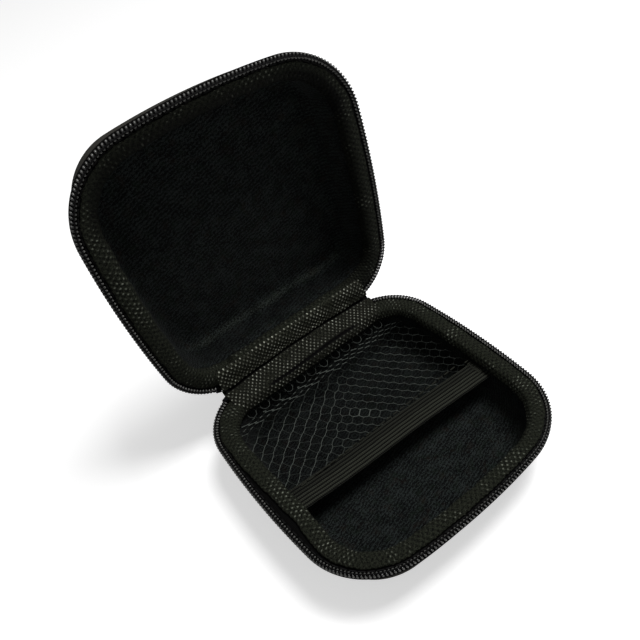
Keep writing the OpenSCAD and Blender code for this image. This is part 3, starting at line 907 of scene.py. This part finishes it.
STRIP_HALF = HINGE_HALF - 0.3
STRIP_T = 0.5


def corner_drop(x):
    """How far the case's wall falls back from the hinge line where its corners begin."""
    past = np.clip(np.abs(x) - ARCS[-1][0][0], 0, None)
    r = BACK_CORNER_R - 4.0
    return r - np.sqrt(r * r - past ** 2)


def closed_strip(rows, half_width_of, n, thickness, name, material, wrinkle, fold=None, inwards=None):
    """A thin cloth across the hinge: rows of (y, z) from the base to the lid, drawn along X.

    Its ends may follow the corners.
    """
    rows = np.array(rows, float)
    along = np.gradient(rows, axis=0)
    along /= np.linalg.norm(along, axis=1)[:, None]
    side = np.stack([-along[:, 1], along[:, 0]], 1)
    lengths = np.r_[0, np.cumsum(np.hypot(*np.diff(rows, axis=0).T))]
    fractions = np.linspace(-1, 1, n)
    points, coords, shade = [], [], []
    for f in fractions:
        x = f * np.array([half_width_of(t) for t in lengths / lengths[-1]])
        dip, rise, dark = fold(x, lengths) if fold else (0 * lengths, 0 * lengths, 0 * lengths)
        lift = wrinkle * (np.sin(x * 0.42 + lengths * 0.9) + 0.6 * np.sin(x * 1.1 - lengths * 0.7 + 1.0))
        lift = lift - dip
        shade += [dark, dark[::-1]]
        tuck = 1 - 0.55 * abs(f) ** 12
        raised = rows + (0, 1) * rise[:, None]
        if inwards is not None:
            raised = raised + inwards * corner_drop(x)[:, None]
        outer = raised + side * (thickness / 2 * tuck + lift)[:, None]
        inner = raised - side * (thickness / 2 * tuck - lift)[:, None]
        ring = np.concatenate([outer, inner[::-1]])
        xs = np.concatenate([x, x[::-1]])
        points.append(np.c_[xs, ring])
        coords.append(np.c_[xs, np.concatenate([lengths, lengths[::-1]])])
    m = 2 * len(rows)
    faces = tube_faces(n, m)
    return make(name, np.concatenate(points), faces, material, uv=np.concatenate(coords), body="free",
                shade=np.concatenate(shade))


def lid_row(u, z):
    """A place of the lid's section at the hinge, as y and z in its open place."""
    p = open_lid(np.array([[0.0, HINGE_Y - u, z]]))[0]
    return p[1], p[2]


def base_row(u, z):
    return HINGE_Y - u, z


def smooth_rows(rows, per=4):
    """A finer line through the rows, rounded at its bends."""
    rows = np.array(rows, float)
    padded_rows = np.r_[[2 * rows[0] - rows[1]], rows, [2 * rows[-1] - rows[-2]]]
    out = []
    for i in range(1, len(padded_rows) - 2):
        a, b, c, d = padded_rows[i - 1:i + 3]
        for k in range(per):
            t = k / per
            square, cube = 2 * a - 5 * b + 4 * c - d, 3 * b - a - 3 * c + d
            out.append(0.5 * (2 * b + (c - a) * t + square * t ** 2 + cube * t ** 3))
    out.append(rows[-1])
    return np.array(out)


def bend_over_hinge(piece):
    """Bakes a cloth's place into its mesh."""
    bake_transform(piece)


def hinge_cloths():
    # The inner strip: a soft flap on each half with a tight crease between them
    base = [(8.9, -3.3), (8.8, -2.3), (8.5, -1.2), (8.0, -0.45), (7.0, -0.02), (5.4, 0.14), (3.6, 0.1),
            (2.2, 0.22), (1.35, 0.3), (0.95, 0.05), (0.7, -0.5)]
    lid = [(8.3, -0.9), (8.25, -0.6), (7.8, -0.25), (6.6, 0.02), (4.8, 0.18), (3.2, 0.15), (2.0, 0.28),
           (1.25, 0.32), (0.85, 0.05), (0.6, -0.45)]
    rows = [base_row(u, COIL_TOP + z) for u, z in base] + [(HINGE_Y + 0.3, HALF_H - 0.3)]
    rows += [lid_row(u, COIL_TOP + z) for u, z in reversed(lid)]
    rows = smooth_rows(rows, 6)
    middle = 66

    def fold(x, lengths):
        """A tuck along the base's flap, how the crease rises in the middle, and the painted shade in both and over
        the base's flap.
        """
        tuck_at = 3.3 + 0.25 * np.sin(x * 0.16)
        run = smooth(x, -19, -14) * (1 - smooth(x, 14, 22))
        tuck = np.exp(-((lengths - tuck_at) / 0.5) ** 2) * run
        crease = np.exp(-((lengths - lengths[middle]) / 0.75) ** 4)
        rise = 1.5 * np.clip(1 - (x / 27) ** 2, 0, 1) * np.exp(-((lengths - lengths[middle]) / 3.2) ** 2)
        # Painted shade over the base's flap
        shade = 0.4 * (1 - smooth(lengths, lengths[middle] - 2, lengths[middle]))
        return 0.5 * tuck, rise, np.clip(shade + 1.3 * tuck + crease, 0, 1)

    inner = closed_strip(rows, lambda t: STRIP_HALF + 0.9 * math.sin(math.pi * t), 120, STRIP_T,
                         "hinge_inner_cloth", STRIP, 0.09, fold)
    bend_over_hinge(inner)
    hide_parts("hinge_inner_strip_base", "hinge_inner_strip_lid")
    # The outer strip: from the base's back wall over the fold to the lid's
    out = -0.45
    walls = [(wall_u(z, out), z) for z in (12.0, 13.5, 15.0, 16.6, 17.9)] + [(1.15, 18.9)]
    rows = [base_row(u, z) for u, z in walls] + [(HINGE_Y + 0.9, HALF_H - 0.9)]
    rows += [lid_row(u, z) for u, z in reversed(walls)]
    rows = smooth_rows(rows)
    turn = np.radians(90 * smooth(np.linspace(0, 1, len(rows)), 0.35, 0.65))
    inwards = np.stack([-np.cos(turn), np.sin(turn)], 1)
    outer = closed_strip(rows, lambda t: STRIP_HALF, 70, STRIP_T, "hinge_outer_cloth", HINGE_CLOTH, 0.03,
                         inwards=inwards)
    bend_over_hinge(outer)
    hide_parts("hinge_outer_strip_base", "hinge_outer_strip_lid")


# One rib of the elastic: place across it, depth under its crown, and how light it is painted, dark in the grooves as
# painted shade and light on the crown as a painted highlight
RIB = (
    (0.02, 0.5, 0.0), (0.2, 0.42, 0.0), (0.3, 0.06, 0.8), (0.55, 0.0, 1.0), (0.8, 0.06, 0.85),
    (0.9, 0.42, 0.0), (0.98, 0.5, 0.0),
)


def elastic():
    """The ribbed band at the net's mouth, tucked in at both ends."""
    rib = ELASTIC_W / ELASTIC_RIBS
    top, crown = [], []
    for i in range(ELASTIC_RIBS):
        for f, h, bright in RIB:
            top.append((ELASTIC_FRONT + (i + f) * rib, ELASTIC_TOP - h))
            # The back three ribs are painted darker
            crown.append(bright * (0.62 if i > 3 else 1.0))
    low = ELASTIC_TOP - ELASTIC_T
    back = ELASTIC_FRONT + ELASTIC_W
    section = [(ELASTIC_FRONT, low + 0.2), (ELASTIC_FRONT, ELASTIC_TOP - 0.5)] + top
    section += [(back, ELASTIC_TOP - 0.5), (back, low + 0.1), (ELASTIC_FRONT + 0.4, low)]
    section = np.array(section)
    lengths = path_lengths(section)
    n = 140
    points, coords, shade = [], [], []
    for f in np.linspace(-1, 1, n):
        # Painted shade on the band's sides and underside, painted light across its ribs
        shade += [0.5, 0.7] + crown + [0.3, 0.1, 0.1]
        skew = -0.6 - 2.0 * f
        reach = np.array([half_width(y + skew, wall_u(z, LINING_OUT) - 0.1) for y, z in section])
        x = f * reach
        bow = skew + 0.25 * np.sin(x * 0.11 + 0.5)
        wave = 0.05 * np.sin(x * 0.9 + section[:, 0] * 0.4)
        sag = -0.35 * (1 - f * f)
        points.append(np.c_[x, section[:, 0] + bow, section[:, 1] + (sag + wave) * (1 - f ** 12)])
        coords.append(np.c_[x, lengths])
    m = len(section)
    faces = tube_faces(n, m)
    obj = make("pocket_elastic_band", np.concatenate(points), [tuple(reversed(f)) for f in faces], ELASTIC,
               uv=np.concatenate(coords), shade=shade)
    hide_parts("pocket_elastic")
    return obj


NET_EDGE = wall_u(NET_Z, LINING_OUT)
NET_MIDDLE = 18.0
RING_PITCH = 4.96
RING_DEPTH = 1.75
LOOP_R = 0.11
LINK_R = 0.08
LINK_TONE = 0.15
# Radius of a dark thread, and what a bright one has more
THREAD_THIN = 0.08
THREAD_GAIN = 0.07
# Along a thread: place between its ends, and its radius there against the thread's own
THREAD_SWELL = ((-0.04, 1.8), (0.15, 1.2), (0.5, 0.8), (0.85, 1.2), (1.04, 1.8))
SHORTEST_THREAD = 0.25
CUT_HALVINGS = 12


def in_net(p):
    """Whether a point is over the net's outline, up to the wall."""
    x, y = abs(p[0]), p[1]
    if y > HINGE_Y - NET_EDGE - 2 * RING_DEPTH or y < ELASTIC_FRONT + 0.5:
        return False
    corner = ARCS[-1][0]
    if x > corner[0] and y > corner[1]:
        return math.hypot(x - corner[0], y - corner[1]) <= BACK_CORNER_R - NET_EDGE
    return x <= half_width(y, NET_EDGE)


def net_place(p):
    """Where a thread's end lies: rows are squeezed near the back and a little wider in the middle."""
    x, y = p
    d = HINGE_Y - NET_EDGE - y
    squeezed = 2 * RING_DEPTH + np.interp(d, (-2, 0, 8.5, 40), (-0.8, 0, 3.1, 36.2))
    return np.array([x, HINGE_Y - NET_EDGE - squeezed + 0.35 * math.sin(x * 0.21 + 0.8)])


def settled(p):
    """A corner of the net's cells as it lies: steep rows drawn straight at the left, level ones at the right."""
    join = NET_TURN + math.radians(30)
    way, side = np.array([math.cos(join), math.sin(join)]), np.array([-math.sin(join), math.cos(join)])
    q = np.array(p) - (0, NET_MIDDLE)
    t, l = q @ way, q @ side
    right = net_side(*p)
    parity = 1 if round(2 * l / NET_PITCH) % 2 == 0 else -1
    l += parity * NET_PITCH / 4 * 0.85 * (1 - right)
    row = NET_PITCH * math.sqrt(3) / 2
    middle = (math.floor(t / row) + 0.5) * row
    t = middle + (t - middle) * (1 - 0.45 * right)
    return np.array([0, NET_MIDDLE]) + t * way + l * side


def net_height(x, y):
    d = HINGE_Y - NET_EDGE - y
    wall = max(0.0, 1 - d / 6.0)
    reach = half_width(y, NET_EDGE)
    sag = max(0.0, 1 - (x / reach) ** 2) * math.sin(math.pi * min(1, max(0, (d - 3) / 34)))
    return NET_Z + 1.7 * wall ** 1.5 - 0.9 * sag


def net_side(x, y):
    """From 0 at the left, where the net's steep rows show, to 1 at the right, where its level rows do."""
    return 1 / (1 + math.exp(-(x + 0.5 - 0.77 * (y - 22)) / 2.2))


def thread_tube(points, faces, shade, path, radii, tone, closed=False):
    """Adds a tube along a path to the lists of a mesh."""
    sides = 6
    path = np.asarray(path, float)
    along = np.roll(path, -1, 0) - np.roll(path, 1, 0) if closed else np.gradient(path, axis=0)
    along /= np.linalg.norm(along, axis=1)[:, None]
    up = np.cross(along, (0, 0, 1))
    up /= np.linalg.norm(up, axis=1)[:, None]
    other = np.cross(up, along)
    first = len(points)
    for q, a, b, r in zip(path, up, other, radii):
        for k in range(sides):
            angle = 2 * math.pi * k / sides
            points.append(q + r * (math.cos(angle) * a + math.sin(angle) * b))
            shade.append(tone)
    rows = len(path)
    sheath = grid_faces(rows, sides, closed_rows=closed, closed_columns=True, start=first)
    faces += [tuple(reversed(f)) for f in sheath]
    if not closed:
        faces.append(tuple(first + k for k in range(sides)))
        faces.append(tuple(first + (rows - 1) * sides + k for k in reversed(range(sides))))


def net_threads():
    """The sides of the net's six-sided cells, each once, as two ends."""
    c, s = math.cos(NET_TURN), math.sin(NET_TURN)
    side = NET_PITCH / math.sqrt(3)
    row = NET_PITCH * math.sqrt(3) / 2
    threads = {}
    for j in range(-30, 31):
        for i in range(-30, 31):
            q = ((i + (j % 2) / 2) * NET_PITCH, j * row)
            centre = (q[0] * c - q[1] * s, q[0] * s + q[1] * c + NET_MIDDLE)
            if abs(centre[0]) > 48 or not -14 < centre[1] < 48:
                continue
            corners = []
            for k in range(6):
                a = NET_TURN + math.radians(30 + 60 * k)
                corners.append((centre[0] + side * math.cos(a), centre[1] + side * math.sin(a)))
            for k in range(6):
                a, b = corners[k], corners[(k + 1) % 6]
                key = tuple(sorted(((round(a[0], 2), round(a[1], 2)), (round(b[0], 2), round(b[1], 2)))))
                threads[key] = (a, b)
    return threads.values()


def cut_to_net(pa, pb):
    """The part of a thread that is over the net's outline, or None."""
    inside = in_net(pa), in_net(pb)
    if not any(inside):
        return None
    if all(inside):
        return pa, pb
    kept, cut = (pa, pb) if inside[0] else (pb, pa)
    for _ in range(CUT_HALVINGS):
        middle = (kept + cut) / 2
        if in_net(middle):
            kept = middle
        else:
            cut = middle
    return (pa, cut) if inside[0] else (cut, pb)


def thread_painted_glint(a, b, x, y):
    """How bright a thread of the net is painted, a painted glint from its bearing and its place."""
    join = NET_TURN + math.radians(30)
    join_way = np.array([math.cos(join), math.sin(join)])
    row = NET_PITCH * math.sqrt(3) / 2
    bearing_deg = math.degrees(math.atan2(b[1] - a[1], b[0] - a[0])) % 180
    right = net_side(x, y)
    round_cell = math.exp(-((x + 1.0) / 5.0) ** 2 - ((y - 9.5 + 0.75 * x) / 3.2) ** 2)
    squeezed = smooth(y, 30.6, 31.5)
    parity = round((((np.array(a) + np.array(b)) / 2) @ join_way) / row) % 2
    leaning = (bearing_deg > 120) == (parity == 0)
    if abs((bearing_deg - math.degrees(join) + 90) % 180 - 90) < 12:
        tone = 0.5 * (1 - right) + 0.06 * right
    else:
        tone = (0.46 if leaning else 0.2) * (1 - right) + 0.42 * right
    tone = max(tone, 0.8 * round_cell)
    dash = 0.6 if bearing_deg > 120 else 0.06
    faded = 1 - 0.75 * math.exp(-((y - 29.2) / 1.9) ** 2)
    # Painted shade towards the right wall
    return (tone * faded * (1 - squeezed) + squeezed * dash) * (1 - 0.6 * smooth(x, 23, 30))


def lifted(places):
    """Places in plan at the net's height."""
    return [(x, y, net_height(x, y)) for x, y in places]


def back_loops(points, faces, shade):
    """Loops that hold the net's edge at the back, with a link between each two."""
    back = HINGE_Y - NET_EDGE
    half = ARCS[-1][0][0] + 4.0
    count = int(2 * half / RING_PITCH)
    for i in range(count + 1):
        x = (i - count / 2) * RING_PITCH + 0.3 * math.sin(i * 2.1)
        angle = np.linspace(0, 2 * math.pi, 18, endpoint=False)
        wide, deep = 1.5 + 0.12 * math.sin(i * 1.7), RING_DEPTH - 0.15
        ring = np.c_[x + wide * np.cos(angle), back - RING_DEPTH + 0.1 + deep * np.sin(angle)]
        # Painted brightness of each loop
        tone = 0.27 + 0.1 * math.sin(i * 2.3)
        thread_tube(points, faces, shade, lifted(ring), [LOOP_R] * len(ring), tone, closed=True)
        if i < count:
            low, high = back - RING_DEPTH - 0.7, back - RING_DEPTH + 0.9
            link = [(x + 1.3, low), (x + RING_PITCH / 2, high), (x + RING_PITCH - 1.3, low)]
            thread_tube(points, faces, shade, lifted(link), [LINK_R] * 3, LINK_TONE)


def net():
    """A net of thin tubes, with painted highlights along the rows that the light picks out, and loops along its back
    edge.
    """
    points, faces, shade = [], [], []
    for a, b in net_threads():
        ends = cut_to_net(net_place(settled(a)), net_place(settled(b)))
        if ends is None or math.hypot(*(ends[1] - ends[0])) < SHORTEST_THREAD:
            continue
        pa, pb = ends
        tone = thread_painted_glint(a, b, *((pa + pb) / 2))
        thick = THREAD_THIN + THREAD_GAIN * min(1.0, tone)
        path = lifted([pa + (pb - pa) * t for t, _ in THREAD_SWELL])
        thread_tube(points, faces, shade, path, [thick * r for _, r in THREAD_SWELL], tone)
    back_loops(points, faces, shade)
    obj = make("pocket_net_threads", np.array(points), faces, NET, shade=shade)
    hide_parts("pocket_net")
    return obj


def dress(obj, material):
    obj.data.materials.clear()
    obj.data.materials.append(material)


def carried():
    """The solids that stay, each with its own look."""
    looks = (
        ("foam_shell", FOAM), ("stitching", THREAD), ("pocket_stitching", POCKET_THREAD), ("end_stop", METAL),
        ("bottom_stop", METAL), ("slider_body", METAL), ("pull_tab", METAL), ("tail_tape", TAPE), ("tail_coil", COIL),
    )
    for o in bpy.context.scene.objects:
        if o.type == "MESH":
            for word, material in looks:
                if word in o.name:
                    dress(o, material)


hinge_cloths()
elastic()
net_obj = net()
carried()


# What the floor adds where the camera sees it, and the light of the white surroundings
FLOOR_GLOW = 0.55
SKY_LIGHT = 0.17
# Area lamps: name, place in metres, size in metres and power
LAMPS = (
    ("key", (0.22, -0.05, 0.62), 0.24, 3.5),
    ("fill", (-0.1, -0.6, 0.45), 0.6, 0.3),
)


def floor_look():
    """White to the camera and a plain diffuse floor to the light, so that shadows stay."""
    material = bpy.data.materials.new("studio_floor")
    material.use_nodes = True
    tree = material.node_tree
    tree.nodes.clear()
    out = tree.nodes.new("ShaderNodeOutputMaterial")
    diffuse = tree.nodes.new("ShaderNodeBsdfDiffuse")
    diffuse.inputs["Color"].default_value = (0.8, 0.8, 0.8, 1)
    glow = tree.nodes.new("ShaderNodeEmission")
    glow.inputs["Color"].default_value = (1, 1, 1, 1)
    path = tree.nodes.new("ShaderNodeLightPath")
    strength = tree.nodes.new("ShaderNodeMath")
    strength.operation = "MULTIPLY"
    strength.inputs[1].default_value = FLOOR_GLOW
    tree.links.new(path.outputs["Is Camera Ray"], strength.inputs[0])
    tree.links.new(strength.outputs[0], glow.inputs["Strength"])
    both = tree.nodes.new("ShaderNodeAddShader")
    tree.links.new(diffuse.outputs[0], both.inputs[0])
    tree.links.new(glow.outputs[0], both.inputs[1])
    tree.links.new(both.outputs[0], out.inputs["Surface"])
    return material


def studio():
    bpy.ops.mesh.primitive_plane_add(size=4, location=(0, 0, 0))
    floor = bpy.context.object
    floor.name = "studio_floor"
    floor.data.materials.append(floor_look())
    world = bpy.data.worlds.new("studio")
    bpy.context.scene.world = world
    world.use_nodes = True
    tree = world.node_tree
    sky = tree.nodes["Background"]
    sky.inputs["Color"].default_value = (1, 1, 1, 1)
    path = tree.nodes.new("ShaderNodeLightPath")
    mix = tree.nodes.new("ShaderNodeMapRange")
    mix.inputs["To Min"].default_value = SKY_LIGHT
    mix.inputs["To Max"].default_value = 1.0
    tree.links.new(path.outputs["Is Camera Ray"], mix.inputs["Value"])
    tree.links.new(mix.outputs[0], sky.inputs["Strength"])
    for name, place, size, power in LAMPS:
        lamp = bpy.data.lights.new(name, "AREA")
        lamp.size = size
        lamp.energy = power
        obj = bpy.data.objects.new(name, lamp)
        bpy.context.collection.objects.link(obj)
        obj.location = place
        way = Vector((0, 0.01, 0.03)) - Vector(place)
        obj.rotation_euler = way.to_track_quat("-Z", "Y").to_euler()


def camera():
    a, e, roll = VIEW_AZIMUTH, VIEW_ELEVATION, VIEW_ROLL
    back = Vector((math.sin(a) * math.cos(e), -math.cos(a) * math.cos(e), math.sin(e)))
    right = Vector((math.cos(a), math.sin(a), 0))
    up = back.cross(right)
    right, up = right * math.cos(roll) + up * math.sin(roll), up * math.cos(roll) - right * math.sin(roll)
    place = Vector(VIEW_TARGET) * MM + back * VIEW_DISTANCE * MM
    lens = bpy.data.cameras.new("camera")
    lens.lens = VIEW_LENS
    lens.sensor_width = 36.0
    lens.shift_x, lens.shift_y = VIEW_SHIFT
    lens.clip_start = 0.01
    obj = bpy.data.objects.new("camera", lens)
    bpy.context.collection.objects.link(obj)
    m = Matrix((right, up, back)).transposed().to_4x4()
    m.translation = place
    obj.matrix_world = m
    bpy.context.scene.camera = obj


studio()
camera()
bpy.context.scene.view_settings.view_transform = "Standard"
